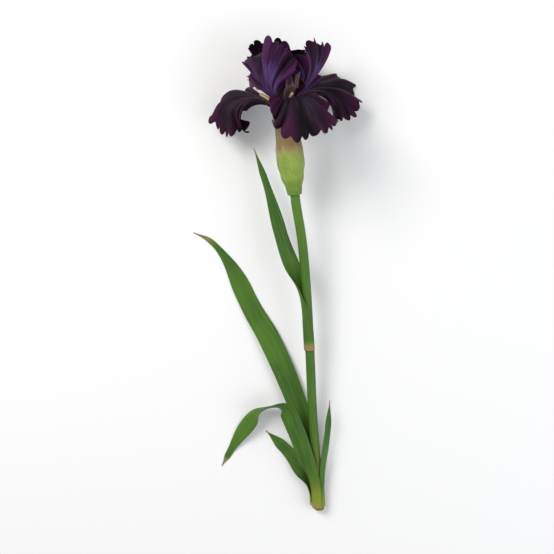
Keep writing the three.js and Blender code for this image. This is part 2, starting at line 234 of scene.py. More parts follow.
def run_tree(holder, tree, values, name):
    """Sets the tree's inputs on an object, and returns its result as a plain mesh object."""
    modifier = holder.modifiers.new("make", "NODES")
    modifier.node_group = tree
    for item in tree.interface.items_tree:
        if item.in_out == "INPUT" and item.name in values:
            modifier[item.identifier] = values[item.name]
    graph = bpy.context.evaluated_depsgraph_get()
    mesh = bpy.data.meshes.new_from_object(holder.evaluated_get(graph), depsgraph=graph)
    holder.modifiers.remove(modifier)
    piece = bpy.data.objects.new(name, mesh)
    bpy.context.scene.collection.objects.link(piece)
    return piece


def node_in(tree, kind, links=None, **settings):
    """Adds a node, sets its properties, and feeds its inputs from values or other sockets."""
    node = tree.nodes.new(kind)
    for key, value in settings.items():
        setattr(node, key, value)
    for socket, value in (links or {}).items():
        if isinstance(value, bpy.types.NodeSocket):
            tree.links.new(value, node.inputs[socket])
        else:
            node.inputs[socket].default_value = value
    return node


def shade_group(name, inputs, outputs):
    """An empty shader node group with named inputs and outputs."""
    tree = bpy.data.node_groups.new(name, "ShaderNodeTree")
    for label, value in inputs.items():
        socket = tree.interface.new_socket(label, in_out="INPUT", socket_type="NodeSocketFloat")
        socket.default_value = value
    for label, kind in outputs.items():
        tree.interface.new_socket(label, in_out="OUTPUT", socket_type=kind)
    return tree, tree.nodes.new("NodeGroupInput"), tree.nodes.new("NodeGroupOutput")


def maths(tree, operation, *values):
    """The value of one Math node."""
    node = tree.nodes.new("ShaderNodeMath")
    node.operation = operation
    for socket, value in zip(node.inputs, values):
        if isinstance(value, bpy.types.NodeSocket):
            tree.links.new(value, socket)
        else:
            socket.default_value = value
    return node.outputs[0]


def ramp_value(tree, value, low, high, low_to=0.0, high_to=1.0):
    """A value mapped smoothly from one range to another."""
    node = node_in(
        tree,
        "ShaderNodeMapRange",
        {"Value": value, "From Min": low, "From Max": high, "To Min": low_to, "To Max": high_to},
        interpolation_type="SMOOTHSTEP",
    )
    return node.outputs["Result"]


def mix_colors(tree, factor, first, second):
    """One colour mixed into another."""
    node = tree.nodes.new("ShaderNodeMix")
    node.data_type = "RGBA"
    for socket, value in ((node.inputs[0], factor), (node.inputs[6], first), (node.inputs[7], second)):
        if isinstance(value, bpy.types.NodeSocket):
            tree.links.new(value, socket)
        else:
            socket.default_value = value if isinstance(value, float) else (*value, 1)
    return node.outputs[2]


# Veins that run along a piece, as fine parallel ridges, with the strength of each a little different.
vein_group, vein_in, vein_out = shade_group(
    "parallel_veins",
    {"Across": 0.0, "Along": 0.0, "Count": 40.0, "Unevenness": 0.5},
    {"Veins": "NodeSocketFloat", "Streaks": "NodeSocketFloat"},
)
vein_place = maths(vein_group, "MULTIPLY", vein_in.outputs["Across"], vein_in.outputs["Count"])
vein_wobble = node_in(
    vein_group,
    "ShaderNodeTexNoise",
    {
        "W": maths(vein_group, "MULTIPLY_ADD", vein_in.outputs["Across"], 37.0, vein_in.outputs["Along"]),
        "Scale": 6.0,
        "Detail": 2.0,
    },
    noise_dimensions="1D",
)
vein_shift = maths(
    vein_group,
    "MULTIPLY",
    maths(vein_group, "SUBTRACT", vein_wobble.outputs[0], 0.5),
    vein_in.outputs["Unevenness"],
)
vein_wave = maths(
    vein_group,
    "COSINE",
    maths(vein_group, "MULTIPLY", maths(vein_group, "ADD", vein_place, vein_shift), 2 * math.pi),
)
vein_streaks = node_in(
    vein_group,
    "ShaderNodeTexNoise",
    {
        "Vector": node_in(
            vein_group,
            "ShaderNodeCombineXYZ",
            {
                "X": maths(vein_group, "MULTIPLY", vein_place, 0.6),
                "Y": maths(vein_group, "MULTIPLY", vein_in.outputs["Along"], 5.0),
            },
        ).outputs[0],
        "Scale": 1.0,
        "Detail": 4.0,
        "Roughness": 0.6,
    },
)
vein_group.links.new(ramp_value(vein_group, vein_wave, 0.1, 1.0), vein_out.inputs["Veins"])
vein_group.links.new(vein_streaks.outputs[0], vein_out.inputs["Streaks"])


def surface_place(tree):
    """The piece's own UV: across it from edge to edge, and along it from foot to tip."""
    uv = node_in(tree, "ShaderNodeUVMap", uv_map="surface")
    split = node_in(tree, "ShaderNodeSeparateXYZ", {"Vector": uv.outputs[0]})
    return split.outputs[0], split.outputs[1]


def attribute(tree, name):
    """The value of a named attribute of the piece."""
    return node_in(tree, "ShaderNodeAttribute", attribute_name=name).outputs["Fac"]


def object_noise(tree, scale, detail=3.0, roughness=0.5):
    """Noise in the piece's object coordinates, from 0 to 1."""
    place = node_in(tree, "ShaderNodeTexCoord").outputs["Object"]
    links = {"Vector": place, "Scale": scale, "Detail": detail, "Roughness": roughness}
    return node_in(tree, "ShaderNodeTexNoise", links).outputs[0]


def bump_into(tree, shader, height, strength, distance):
    """A bump that feeds the shader's normal."""
    bump = node_in(tree, "ShaderNodeBump", {"Height": height, "Strength": strength, "Distance": distance})
    tree.links.new(bump.outputs[0], shader.inputs["Normal"])


stalk_material, tree, shader = new_material("waxy_stalk")
around, along = attribute(tree, "around"), attribute(tree, "along")
veins = node_in(tree, "ShaderNodeGroup", node_tree=vein_group)
for label, value in (("Across", around), ("Along", along)):
    tree.links.new(value, veins.inputs[label])
veins.inputs["Count"].default_value = 22
veins.inputs["Unevenness"].default_value = 0.6
base = mix_colors(tree, ramp_value(tree, along, 0.0, 0.28), (0.19, 0.22, 0.018), (0.052, 0.135, 0.009))
base = mix_colors(tree, ramp_value(tree, along, 0.7, 1.0), base, (0.085, 0.19, 0.014))
patches = ramp_value(tree, object_noise(tree, 55), 0.35, 0.75, 0, 0.5)
base = mix_colors(tree, patches, base, (0.034, 0.088, 0.006))
streaks = ramp_value(tree, veins.outputs["Streaks"], 0.45, 0.75, 0, 0.4)
base = mix_colors(tree, streaks, base, (0.1, 0.2, 0.02))
cut = ramp_value(tree, along, 0.004, 0.0)
base = mix_colors(tree, cut, base, (0.42, 0.37, 0.17))
tree.links.new(base, shader.inputs["Base Color"])
rough = ramp_value(tree, object_noise(tree, 140), 0.3, 0.7, 0.36, 0.5)
tree.links.new(rough, shader.inputs["Roughness"])
shader.inputs["Specular IOR Level"].default_value = 0.3
shader.inputs["Coat Weight"].default_value = 0.05
shader.inputs["Coat Roughness"].default_value = 0.35
bump_into(tree, shader, veins.outputs["Veins"], 0.35, 0.0004)

tree, tree_in, tree_out = node_tree(
    "round_stem",
    [("Radius", "NodeSocketFloat"), ("Sides", "NodeSocketInt"), ("Foot Flare", "NodeSocketFloat")],
)
factor = node_in(tree, "GeometryNodeSplineParameter").outputs["Factor"]
foot_flare = tree_in.outputs["Foot Flare"]
flare = node_in(
    tree,
    "ShaderNodeMapRange",
    {"Value": factor, "From Min": 0.0, "From Max": 0.12, "To Min": foot_flare, "To Max": 1.0},
    interpolation_type="SMOOTHSTEP",
).outputs["Result"]
ripple = node_in(
    tree,
    "ShaderNodeTexNoise",
    {"W": factor, "Scale": 22.0, "Detail": 1.0},
    noise_dimensions="1D",
).outputs[0]
ripple = ramp_value(tree, ripple, 0.2, 0.8, 0.965, 1.02)
radius = node_in(
    tree,
    "GeometryNodeSetCurveRadius",
    {"Curve": tree_in.outputs["Geometry"], "Radius": maths(tree, "MULTIPLY", flare, ripple)},
)
along_kept = node_in(
    tree,
    "GeometryNodeStoreNamedAttribute",
    {"Geometry": radius.outputs[0], "Name": "along", "Value": factor},
    domain="POINT",
)
profile_circle = node_in(
    tree,
    "GeometryNodeCurvePrimitiveCircle",
    {"Resolution": tree_in.outputs["Sides"], "Radius": tree_in.outputs["Radius"]},
)
around_kept = node_in(
    tree,
    "GeometryNodeStoreNamedAttribute",
    {
        "Geometry": profile_circle.outputs[0],
        "Name": "around",
        "Value": node_in(tree, "GeometryNodeSplineParameter").outputs["Factor"],
    },
    domain="POINT",
)
tube = node_in(
    tree,
    "GeometryNodeCurveToMesh",
    {"Curve": along_kept.outputs[0], "Profile Curve": around_kept.outputs[0], "Fill Caps": True},
)
finished = node_in(tree, "GeometryNodeSetMaterial", {"Geometry": tube.outputs[0], "Material": stalk_material})
real = node_in(tree, "GeometryNodeRealizeInstances", {"Geometry": finished.outputs[0]})
tree.links.new(real.outputs[0], tree_out.inputs[0])
stalk = run_tree(stalk_line, tree, {"Radius": STALK_RADIUS, "Sides": 40, "Foot Flare": 1.04}, "stalk")
stalk.data.shade_smooth()
bpy.data.objects.remove(stalk_line)
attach(stalk, "root")
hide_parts("flower_stalk")

# ------------------------------------------------------------------------------------- fan leaves
# Iris leaves are sword shaped, folded flat, with many fine parallel veins. At their foot they wrap the
# stalk, where they are pale. One is long and bent over to the left with a dried tip, one is folded over,
# and two are short.
LEAF_THICKNESS = 1.1
LEAF_SOFTNESS = 0.4
SHEATH_THICKNESS = 0.5


def profile(pairs):
    """A value that changes smoothly through (position, value) pairs."""
    places, values = np.array(pairs, float).T

    def at(x):
        i = np.clip(np.searchsorted(places, x) - 1, 0, len(places) - 2)
        share = np.clip((x - places[i]) / (places[i + 1] - places[i]), 0, 1)
        share = share * share * (3 - 2 * share)
        return values[i] + (values[i + 1] - values[i]) * share

    return at


def ease(x, low, high):
    """Smoothly from 0 at low to 1 at high."""
    share = np.clip((x - low) / (high - low), 0, 1)
    return share * share * (3 - 2 * share)


def unit(vectors):
    return vectors / np.maximum(np.linalg.norm(vectors, axis=-1, keepdims=True), 1e-12)


def pressed(points, thickness, softness):
    """Lifts what would sink into the table so that it lies flat on it. Millimetres."""
    height = points[..., 2] / MM
    above = (height - thickness / 2) / softness
    lifted = thickness / 2 + softness * np.log1p(np.exp(np.minimum(above, 30)))
    points[..., 2] = np.where(above < 12, lifted, height) * MM
    return points


def closed_sheet(name, points, thickness, material):
    """A thin closed piece from the grid of its middle surface and its thickness, in metres. Its two
    faces meet at the edge, and it keeps a UV of where each point is across and along it."""
    rows, columns = points.shape[:2]
    normal = unit(np.cross(np.gradient(points, axis=0), np.gradient(points, axis=1)))
    half = (thickness / 2)[..., None] * normal
    number = np.arange(rows * columns).reshape(rows, columns)
    back = np.full((rows, columns), -1)
    inner = (rows - 2) * (columns - 2)
    back[1:-1, 1:-1] = rows * columns + np.arange(inner).reshape(rows - 2, columns - 2)
    back = np.where(back < 0, number, back)
    edge = np.ones((rows, columns), bool)
    edge[1:-1, 1:-1] = False
    upper = np.where(edge[..., None], points, points + half)
    lower = (points - half)[1:-1, 1:-1]
    corners = lambda grid: (grid[:-1, :-1], grid[1:, :-1], grid[1:, 1:], grid[:-1, 1:])
    front_faces = np.stack(corners(number), axis=-1).reshape(-1, 4)
    back_faces = np.stack(corners(back)[::-1], axis=-1).reshape(-1, 4)
    faces = np.vstack([front_faces, back_faces])
    mesh = bpy.data.meshes.new(name)
    mesh.vertices.add(rows * columns + inner)
    mesh.vertices.foreach_set("co", np.vstack([upper.reshape(-1, 3), lower.reshape(-1, 3)]).ravel())
    mesh.loops.add(faces.size)
    mesh.loops.foreach_set("vertex_index", faces.ravel())
    mesh.polygons.add(len(faces))
    mesh.polygons.foreach_set("loop_start", np.arange(0, faces.size, 4))
    mesh.update(calc_edges=True)
    mesh.validate()
    u, v = np.meshgrid(np.linspace(0, 1, rows), np.linspace(0, 1, columns), indexing="ij")
    place = np.stack([v, u], axis=-1)
    place = np.vstack([place.reshape(-1, 2), place[1:-1, 1:-1].reshape(-1, 2)])
    uv = mesh.uv_layers.new(name="surface")
    uv.data.foreach_set("uv", place[faces.ravel()].astype(np.float32).ravel())
    side = mesh.attributes.new("upper_side", "FLOAT", "POINT")
    side.data.foreach_set("value", np.r_[np.ones(rows * columns), np.zeros(inner)].astype(np.float32))
    mesh.shade_smooth()
    mesh.materials.append(material)
    piece = bpy.data.objects.new(name, mesh)
    bpy.context.scene.collection.objects.link(piece)
    return piece


def leaf_grid(rows, columns):
    """u along and v across, over a grid. The columns stand closer at the edges."""
    u = np.linspace(0, 1, rows)[:, None] * np.ones(columns)
    v = np.sin(np.linspace(-0.5, 0.5, columns) * math.pi)[None, :] * np.ones((rows, 1))
    return u, v


def rounded_edge(v, width):
    """1 over the piece and round to 0 at its edges."""
    return np.sqrt(np.clip(1 - np.clip((np.abs(v) - 1 + width) / width, 0, 1) ** 2, 0, 1))


def beside_stalk(y, radius, angle):
    """A place beside the stalk, in millimetres, at an angle seen from the cut end."""
    curve, _ = stalk_path
    centre = [np.interp(y, curve[:, 1], curve[:, axis]) for axis in range(3)]
    angle = math.radians(angle)
    return (centre[0] + radius * math.cos(angle), y, centre[2] + radius * math.sin(angle))


def towards_stalk(angle):
    return (-math.cos(math.radians(angle)), 0, -math.sin(math.radians(angle)))


def leaf(name, spine, faces, half_width, roll, material, sway=0.0, seed=0):
    """A ribbon along a spine: its foot is rolled round the stalk, its blade is nearly flat."""
    path = path_through(spine)
    u, v = leaf_grid(260, 33)
    place, along = on_path(path, u[:, 0] * path[1][-1])
    positions = [at for at, _ in faces]
    inward = np.stack(
        [profile(list(zip(positions, [face[k] for _, face in faces])))(u[:, 0]) for k in range(3)],
        axis=-1,
    )
    across = unit(np.cross(along, inward))
    inward = np.cross(across, along)
    width = profile(half_width)(u)
    angle = np.maximum(profile(roll)(u), 0.02)
    radius = width / angle
    noise = np.random.default_rng(seed)
    phases = noise.uniform(0, 2 * math.pi, 4)
    wave = sum(np.sin((7 + 5 * k) * u + phases[k] + (1.2 if k % 2 else -0.4) * v) / (1 + k) for k in range(4))
    edge_wave = sway * ease(u, 0.2, 0.5) * wave * v**2
    keel = 0.35 * ease(u, 0.1, 0.3) * np.exp(-((v / 0.12) ** 2)) * (1 - u)
    rise = radius * (1 - np.cos(v * angle)) + edge_wave - keel
    points = place[:, None] + (radius * np.sin(v * angle))[..., None] * across[:, None]
    points = from_cut(points + rise[..., None] * inward[:, None])
    blade = ease(u, 0.1, 0.45) * (1 - ease(u, 0.75, 1))
    thickness = SHEATH_THICKNESS + (LEAF_THICKNESS - SHEATH_THICKNESS) * blade
    points = pressed(points, thickness, LEAF_SOFTNESS)
    shaped = thickness * (1 - 0.55 * v**2) * rounded_edge(v, 0.12) * rounded_edge(u * 2 - 1, 0.02)
    piece = closed_sheet(name, points, shaped * MM, material)
    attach(piece, "root")
    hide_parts(name)
    return piece


def leaf_material(name, fresh, dark, foot, dry_from, sheath_to):
    """Green leaf skin with fine parallel veins, a pale foot, a lighter edge and a dried brown tip."""
    material, tree, shader = new_material(name)
    across, along = surface_place(tree)
    veins = node_in(tree, "ShaderNodeGroup", {"Across": across, "Along": along}, node_tree=vein_group)
    veins.inputs["Count"].default_value = 19
    veins.inputs["Unevenness"].default_value = 0.8
    base = mix_colors(tree, ramp_value(tree, object_noise(tree, 24, 4), 0.35, 0.7), fresh, dark)
    streak = ramp_value(tree, veins.outputs["Streaks"], 0.4, 0.75, 0, 0.55)
    base = mix_colors(tree, streak, base, tuple(1.55 * part for part in fresh))
    base = mix_colors(tree, maths(tree, "MULTIPLY", veins.outputs["Veins"], 0.3), base, dark)
    edge = maths(tree, "ABSOLUTE", maths(tree, "SUBTRACT", across, 0.5))
    base = mix_colors(tree, ramp_value(tree, edge, 0.475, 0.498, 0, 0.6), base, (0.24, 0.33, 0.09))
    ragged = maths(tree, "MULTIPLY_ADD", object_noise(tree, 60, 4), 0.1, maths(tree, "SUBTRACT", along, 0.05))
    base = mix_colors(tree, ramp_value(tree, ragged, sheath_to, 0.02), base, foot)
    base = mix_colors(tree, ramp_value(tree, ragged, 0.035, 0.0, 0, 0.7), base, (0.33, 0.2, 0.09))
    base = mix_colors(tree, ramp_value(tree, ragged, dry_from - 0.03, dry_from), base, (0.2, 0.19, 0.05))
    base = mix_colors(tree, ramp_value(tree, ragged, dry_from, dry_from + 0.03), base, (0.19, 0.11, 0.045))
    tree.links.new(base, shader.inputs["Base Color"])
    rough = ramp_value(tree, object_noise(tree, 90), 0.3, 0.7, 0.38, 0.52)
    tree.links.new(rough, shader.inputs["Roughness"])
    shader.inputs["Specular IOR Level"].default_value = 0.3
    shader.inputs["Coat Weight"].default_value = 0.04
    shader.inputs["Coat Roughness"].default_value = 0.3
    ridges = maths(tree, "MULTIPLY_ADD", veins.outputs["Streaks"], 0.35, veins.outputs["Veins"])
    bump_into(tree, shader, ridges, 0.4, 0.0003)
    return material


fan_material = leaf_material(
    "fan_leaf_skin", (0.062, 0.155, 0.009), (0.03, 0.09, 0.006), (0.2, 0.25, 0.018), 0.955, 0.22
)
UP = (0, 0, 1)
leaf(
    "leaf_long_arching",
    spine=[
        beside_stalk(0, 4.5, 245),
        beside_stalk(24, 4.6, 245),
        (-9, 58, 5.2),
        (-22, 96, 5),
        (-40.4, 138, 3),
        (-53.1, 160, 1.5),
        (-71.7, 197, -1),
        (-86, 214, -2),
        (-99, 220.6, -2),
    ],
    faces=[(0, towards_stalk(245)), (0.12, towards_stalk(245)), (0.35, (0.15, 0, 1)), (1, UP)],
    half_width=[(0, 6), (0.15, 7), (0.55, 8.6), (0.75, 7.4), (0.93, 2.2), (1, 0.35)],
    roll=[(0, 1.35), (0.1, 1.3), (0.35, 0.2), (1, 0.05)],
    material=fan_material,
    sway=0.9,
    seed=3,
)
leaf(
    "leaf_folded_over",
    spine=[
        beside_stalk(2, 6.2, 130),
        beside_stalk(20, 6.4, 130),
        (-11, 42, 15.2),
        (-20, 68, 16.5),
        (-29, 84, 15.5),
        (-43, 83, 11),
        (-60, 65, 4.5),
        (-78, 34, -2),
    ],
    faces=[
        (0, towards_stalk(130)),
        (0.12, towards_stalk(130)),
        (0.3, (0.2, 0, -1)),
        (0.47, (0.1, 0.35, -0.94)),
        (0.6, (-0.3, 0.92, -0.25)),
        (0.74, (-0.35, 0.35, 0.85)),
        (1, UP),
    ],
    half_width=[(0, 6), (0.2, 6.6), (0.5, 7.2), (0.75, 6.4), (0.93, 2.6), (1, 0.3)],
    roll=[(0, 1.15), (0.1, 1.1), (0.32, 0.25), (1, 0.05)],
    material=fan_material,
    sway=0.5,
    seed=5,
)
leaf(
    "leaf_short",
    spine=[beside_stalk(4, 7.5, 195), beside_stalk(16, 7.6, 198), (-19, 39, 3), (-31, 52, 0), (-43, 63, -2)],
    faces=[(0, towards_stalk(190)), (0.2, towards_stalk(200)), (0.5, UP), (1, UP)],
    half_width=[(0, 4.5), (0.45, 6), (0.75, 4.4), (1, 0.3)],
    roll=[(0, 0.8), (0.2, 0.7), (0.5, 0.15), (1, 0.05)],
    material=fan_material,
    sway=0.4,
    seed=7,
)
leaf(
    "leaf_inner",
    spine=[
        beside_stalk(3, 4.6, 20),
        beside_stalk(22, 4.7, 20),
        (4.2, 48, 10.2),
        (6.2, 70, 12),
        (7.4, 90, 12),
    ],
    faces=[(0, towards_stalk(20)), (0.3, towards_stalk(30)), (0.7, (-0.6, 0, -0.8)), (1, (-0.3, 0, -1))],
    half_width=[(0, 4.6), (0.4, 4.4), (0.75, 3), (1, 0.3)],
    roll=[(0, 0.95), (0.3, 0.8), (0.7, 0.15), (1, 0.05)],
    material=fan_material,
    sway=0.2,
    seed=11,
)

# -------------------------------------------------------------------------------------- stem leaf
# A narrower leaf that grows from a node halfway up: its foot is a sheath wrapped all round the stalk,
# and its blade stands off to the left.
stem_leaf_material = leaf_material(
    "stem_leaf_skin", (0.06, 0.15, 0.012), (0.033, 0.095, 0.008), (0.07, 0.16, 0.014), 0.975, 0.06
)
leaf(
    "stem_leaf",
    spine=[
        beside_stalk(131, 4.3, 180),
        beside_stalk(150, 4.35, 183),
        beside_stalk(170, 4.6, 200),
        (-20.5, 190, 22),
        (-29, 214, 22),
        (-40, 253, 20),
        (-51.7, 286.7, 16),
    ],
    faces=[
        (0, towards_stalk(180)),
        (0.12, towards_stalk(183)),
        (0.26, towards_stalk(205)),
        (0.45, (0.25, 0, 1)),
        (1, (0.1, 0, 1)),
    ],
    half_width=[(0, 11.6), (0.12, 10.8), (0.3, 7.4), (0.6, 5.2), (0.85, 2.6), (1, 0.25)],
    roll=[(0, 2.7), (0.12, 2.45), (0.3, 1.2), (0.5, 0.3), (1, 0.08)],
    material=stem_leaf_material,
    sway=0.4,
    seed=13,
)

# ---------------------------------------------------------------------------------- spathe valves
# Two bracts rolled round the ovary, one lapping over the other: yellow-green below, drying to a papery
# tan and purple-brown at their tips and along their thin pale edges.
SPATHE_SWELL = [
    (-71, 4.3),
    (-66, 5.2),
    (-57, 7.9),
    (-47, 9.6),
    (-38, 9.5),
    (-28, 8.4),
    (-20, 8.2),
    (-12, 9.2),
]
SPATHE_ROLL = [(0, 150), (0.25, 128), (0.6, 112), (0.82, 74), (0.95, 26), (1, 5)]

spathe_material, tree, shader = new_material("papery_spathe")
across, along = surface_place(tree)
veins = node_in(tree, "ShaderNodeGroup", {"Across": across, "Along": along}, node_tree=vein_group)
veins.inputs["Count"].default_value = 26
veins.inputs["Unevenness"].default_value = 0.9
patches = object_noise(tree, 70, 4, 0.6)
base = mix_colors(tree, ramp_value(tree, patches, 0.35, 0.7), (0.27, 0.37, 0.045), (0.17, 0.28, 0.025))
base = mix_colors(tree, ramp_value(tree, along, 0.0, 0.3), (0.1, 0.21, 0.014), base)
base = mix_colors(tree, maths(tree, "MULTIPLY", veins.outputs["Veins"], 0.4), base, (0.15, 0.22, 0.03))
edge = maths(tree, "ABSOLUTE", maths(tree, "SUBTRACT", across, 0.5))
base = mix_colors(tree, ramp_value(tree, edge, 0.4, 0.47), base, (0.5, 0.48, 0.2))
ragged = maths(tree, "MULTIPLY_ADD", veins.outputs["Streaks"], 0.3, maths(tree, "SUBTRACT", along, 0.15))
base = mix_colors(tree, ramp_value(tree, ragged, 0.42, 0.62, 0, 0.85), base, (0.33, 0.27, 0.1))
base = mix_colors(tree, ramp_value(tree, ragged, 0.52, 0.7, 0, 0.75), base, (0.17, 0.085, 0.035))
base = mix_colors(tree, ramp_value(tree, ragged, 0.78, 0.93, 0, 0.9), base, (0.1, 0.05, 0.035))
base = mix_colors(tree, ramp_value(tree, edge, 0.485, 0.498, 0, 0.6), base, (0.14, 0.08, 0.04))
tree.links.new(base, shader.inputs["Base Color"])
shader.inputs["Roughness"].default_value = 0.46
bump_into(tree, shader, veins.outputs["Veins"], 0.5, 0.0004)


def spathe_valve(name, azimuth, top, outward, seed):
    """A bract rolled round the bloom's axis, swollen at its middle and drawn to a tip."""
    u, v = leaf_grid(150, 61)
    noise = np.random.default_rng(seed).uniform(0, 2 * math.pi, 6)
    along = SPATHE_BASE + (top - SPATHE_BASE) * u
    turn = v * profile(SPATHE_ROLL)(u)
    crinkle = sum(np.sin((9 + 6 * k) * u + noise[k] + 2.5 * v * k) / (2 + k) for k in range(4))
    ribs = 0.12 * np.cos(v * 34 + noise[4])
    radius = profile(SPATHE_SWELL)(along) + outward * (0.9 + 0.3 * u)
    radius = radius + 0.28 * crinkle * ease(np.abs(v), 0.4, 1.0) + ribs * ease(u, 0.05, 0.2)
    radius = radius + 0.8 * ease(u, 0.86, 1.0)
    angle = np.radians(turn)
    points = in_bloom(azimuth, radius * np.cos(angle), radius * np.sin(angle), along)
    thickness = SHEATH_THICKNESS * (1 - 0.3 * u) * rounded_edge(v, 0.05) * rounded_edge(u * 2 - 1, 0.02)
    piece = closed_sheet(f"{name}_bract", points, thickness * MM, spathe_material)
    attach(piece, "root")
    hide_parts(name)


spathe_valve("spathe_outer", 205, -13, 1, 17)
spathe_valve("spathe_inner", 30, -17, 0, 19)

# -------------------------------------------------------------------------------- ovary and tube
# The green ovary stands on the stalk inside the spathe, with the short tube that carries the petals and
# the style column on top of it. It has six soft ribs.
OVARY_OUTLINE = [
    (-59.7, 3.1),
    (-53, 3.1),
    (-47, 4.6),
    (-38, 5),
    (-29, 4.4),
    (-22, 3.4),
    (-14, 3.9),
    (-11, 4.1),
    (-10.4, 1.6),
    (-2.6, 1.5),
    (-2.4, 0.05),
]
ovary_material, tree, shader = new_material("ovary_skin")
patches = ramp_value(tree, object_noise(tree, 90), 0.35, 0.7)
base = mix_colors(tree, patches, (0.25, 0.33, 0.07), (0.14, 0.23, 0.04))
tree.links.new(base, shader.inputs["Base Color"])
shader.inputs["Roughness"].default_value = 0.42
bump_into(tree, shader, object_noise(tree, 900), 0.2, 0.0002)

u = np.concatenate([[0], np.linspace(0, 1, 120)])[:, None] * np.ones(48)
turn = np.linspace(0, 2 * math.pi, 48, endpoint=False)[None, :] * np.ones((121, 1))
along = OVARY_OUTLINE[0][0] + (OVARY_OUTLINE[-1][0] - OVARY_OUTLINE[0][0]) * u
radius = np.interp(along, *np.array(OVARY_OUTLINE).T)
radius = radius * (1 + 0.05 * np.cos(6 * turn) * ease(along, -56, -50) * (1 - ease(along, -26, -20)))
radius[0] = 0.05
points = in_bloom(0, radius * np.cos(turn), radius * np.sin(turn), along)
number = np.arange(121 * 48).reshape(121, 48)
turned = np.roll(number, -1, axis=1)
faces = np.stack([number[:-1], turned[:-1], turned[1:], number[1:]], axis=-1).reshape(-1, 4).tolist()
ovary_mesh = bpy.data.meshes.new("ovary")
ends = [number[0, ::-1].tolist(), number[-1].tolist()]
ovary_mesh.from_pydata(points.reshape(-1, 3).tolist(), [], faces + ends)
ovary_mesh.shade_smooth()
ovary_mesh.materials.append(ovary_material)
ovary = bpy.data.objects.new("ovary", ovary_mesh)
bpy.context.scene.collection.objects.link(ovary)
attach(ovary, "root")
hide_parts("ovary_and_tube")

# ------------------------------------------------------------------------------------------- falls
# The three outer petals stand out from the bloom on strap-like hafts and hang: near-black purple
# velvet, ruffled in broad folds with a fine crimp along the margin, bronze on the haft.
PETAL_THICKNESS = 0.55
PETAL_SOFTNESS = 1.5
PETAL_GRID = (96, 232)
MARGIN_LOBES = 15
FOLD_DEPTH = 8
FALL_AZIMUTHS = {"front": -72, "right": 42, "left": 156}

# Veins that spread over a petal from its foot, the shade of its margin, and its fine velvet grain.
petal_group, petal_in, petal_out = shade_group(
    "petal_skin",
    {"Across": 0.5, "Along": 0.0, "Vein Count": 30.0},
    {
        "Veins": "NodeSocketFloat",
        "Margin": "NodeSocketFloat",
        "Grain": "NodeSocketFloat",
        "Streaks": "NodeSocketFloat",
    },
)
wander = node_in(
    petal_group,
    "ShaderNodeTexNoise",
    {
        "Vector": node_in(
            petal_group,
            "ShaderNodeCombineXYZ",
            {"X": petal_in.outputs["Across"], "Y": petal_in.outputs["Along"]},
        ).outputs[0],
        "Scale": 5.0,
        "Detail": 3.0,
    },
)
lane = maths(petal_group, "MULTIPLY", petal_in.outputs["Across"], petal_in.outputs["Vein Count"])
lane = maths(petal_group, "MULTIPLY_ADD", wander.outputs[0], 1.6, lane)
fine_lane = maths(petal_group, "MULTIPLY", lane, 2.0)
vein_lines = []
for position, low in ((lane, 0.72), (fine_lane, 0.8)):
    wave = maths(petal_group, "COSINE", maths(petal_group, "MULTIPLY", position, 2 * math.pi))
    vein_lines.append(ramp_value(petal_group, wave, low, 1.0))
forking = ramp_value(petal_group, petal_in.outputs["Along"], 0.45, 0.75)
forks = maths(petal_group, "MULTIPLY", vein_lines[1], forking)
vein_sum = maths(petal_group, "MAXIMUM", vein_lines[0], maths(petal_group, "MULTIPLY", forks, 0.7))
petal_group.links.new(vein_sum, petal_out.inputs["Veins"])
from_middle = maths(
    petal_group, "ABSOLUTE", maths(petal_group, "MULTIPLY_ADD", petal_in.outputs["Across"], 2.0, -1.0)
)
side_margin = ramp_value(petal_group, from_middle, 0.72, 1.0)
rim_margin = ramp_value(petal_group, petal_in.outputs["Along"], 0.7, 0.99)
margin = maths(petal_group, "MAXIMUM", side_margin, rim_margin)
petal_group.links.new(margin, petal_out.inputs["Margin"])
petal_group.links.new(object_noise(petal_group, 1500, 2.0), petal_out.inputs["Grain"])
streak_place = node_in(
    petal_group,
    "ShaderNodeCombineXYZ",
    {
        "X": maths(petal_group, "MULTIPLY", petal_in.outputs["Across"], 16.0),
        "Y": maths(petal_group, "MULTIPLY", petal_in.outputs["Along"], 2.5),
    },
)
streak_links = {"Vector": streak_place.outputs[0], "Scale": 1.0, "Detail": 4.0, "Roughness": 0.55}
streaks = node_in(petal_group, "ShaderNodeTexNoise", streak_links)
petal_group.links.new(streaks.outputs[0], petal_out.inputs["Streaks"])


